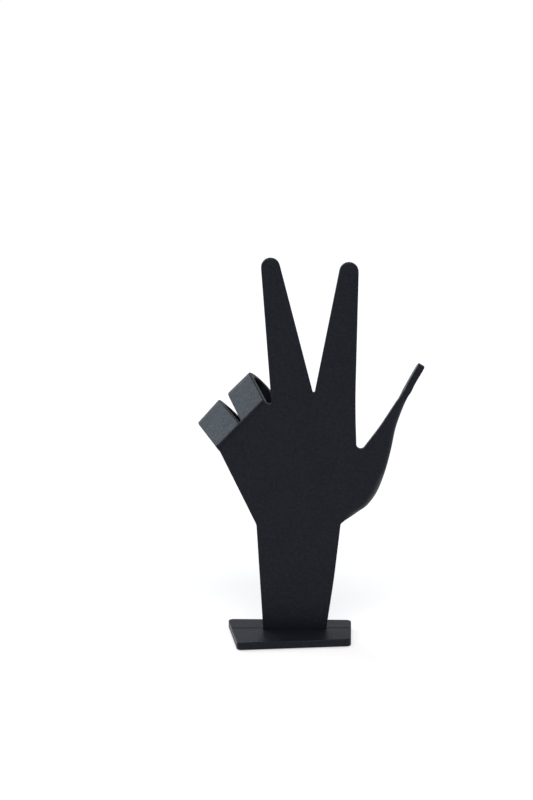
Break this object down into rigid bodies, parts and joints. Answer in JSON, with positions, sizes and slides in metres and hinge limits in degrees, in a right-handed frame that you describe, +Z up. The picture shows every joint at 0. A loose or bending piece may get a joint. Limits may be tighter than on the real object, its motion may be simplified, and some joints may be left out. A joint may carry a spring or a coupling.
{
  "type": "ornamental_hand",
  "caption": "Black cast iron hand with two raised fingers, two curled fingers and a turned-back thumb, standing on a small base plate",
  "frame": {"origin": "on the table, under the middle of the foot of the wrist", "axes": "+Z up along the height, +X to the viewer's right across the flat face of the hand, +Y away from the viewer"},
  "size_m": [0.1299, 0.0718, 0.2233],
  "materials": {
    "cast_iron": "black satin, fine cast grain",
    "screw_steel": "plain steel",
    "felt": "black felt"
  },
  "bodies": {
    "root": {"hand": "cast_iron", "base_plate": "cast_iron", "base_screw_left": "screw_steel", "base_screw_right": "screw_steel", "foot_pad_front_left": "felt", "foot_pad_back_left": "felt", "foot_pad_back_right": "felt", "foot_pad_front_right": "felt"}
  },
  "joints": []
}
